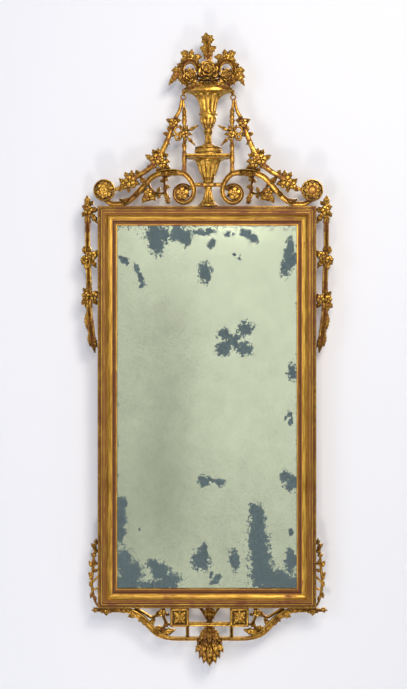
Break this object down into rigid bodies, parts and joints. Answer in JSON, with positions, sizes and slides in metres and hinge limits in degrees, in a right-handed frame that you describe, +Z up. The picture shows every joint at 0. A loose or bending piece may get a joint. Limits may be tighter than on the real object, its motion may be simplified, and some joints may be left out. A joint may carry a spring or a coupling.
{
  "type": "pier mirror",
  "caption": "Tall gilded pier mirror: mitred moulded frame, pierced crest with an urn of roses between garlands and scrolls, side drops and a pierced apron.",
  "frame": {"origin": "centre of the hanging hole of the iron stay, on the back plane, 20 mm below the frame's top edge", "axes": "+Z up, +Y out of the back towards the wall, so the front faces -Y, and +X to the right of somebody who looks at the front"},
  "size_m": [0.8002, 0.0448, 2.0041],
  "materials": {
    "gilding": "water gilding on carved softwood, rubbed at the high points",
    "worn_gilding": "gilding worn to the red bole",
    "softwood": "bare, darkened with age",
    "iron": "wrought, dull",
    "brass": "gilded, dull",
    "mirror_glass": "old plate glass",
    "tin_amalgam": "tin and mercury silvering with losses"
  },
  "bodies": {
    "root": {"top_rail": "gilding", "bottom_rail": "gilding", "left_stile": "gilding", "right_stile": "gilding", "corner_keys": "softwood", "outer_pearls_top": "gilding", "outer_pearls_bottom": "gilding", "outer_pearls_left": "gilding", "outer_pearls_right": "gilding", "sight_pearls_top": "worn_gilding", "sight_pearls_bottom": "worn_gilding", "sight_pearls_left": "worn_gilding", "sight_pearls_right": "worn_gilding", "mirror_glass": "mirror_glass", "tin_amalgam": "tin_amalgam", "glazing_blocks": "softwood", "backboard_upper": "softwood", "backboard_middle": "softwood", "backboard_lower": "softwood", "backboard_nails": "iron", "crest_stay": "iron", "stay_screws": "iron", "scroll_left": "gilding", "scroll_right": "gilding", "patera_left": "gilding", "patera_right": "gilding", "volute_rosettes": "gilding", "spandrel_sprig_left": "gilding", "spandrel_sprig_right": "gilding", "pedestal_foot": "gilding", "cross_bar": "gilding", "acanthus_bell": "gilding", "abacus": "gilding", "socle": "gilding", "urn_foot": "gilding", "urn_body": "gilding", "urn_rings": "brass", "tassel_left": "worn_gilding", "tassel_right": "worn_gilding", "knot_left": "gilding", "knot_right": "gilding", "garland_left": "gilding", "garland_right": "gilding", "centre_rose": "gilding", "side_roses": "gilding", "bouquet_sprig_left": "gilding", "bouquet_sprig_right": "gilding", "finial_sprig": "gilding", "side_drop_left": "gilding", "side_drop_right": "gilding", "lower_sprig_left": "gilding", "lower_sprig_right": "gilding", "apron_scroll_left": "gilding", "apron_scroll_right": "gilding", "rosette_block_left": "gilding", "rosette_block_right": "gilding", "apron_bar": "gilding", "apron_posts": "gilding", "apron_arcs": "worn_gilding", "acanthus_drop": "gilding"}
  },
  "joints": []
}
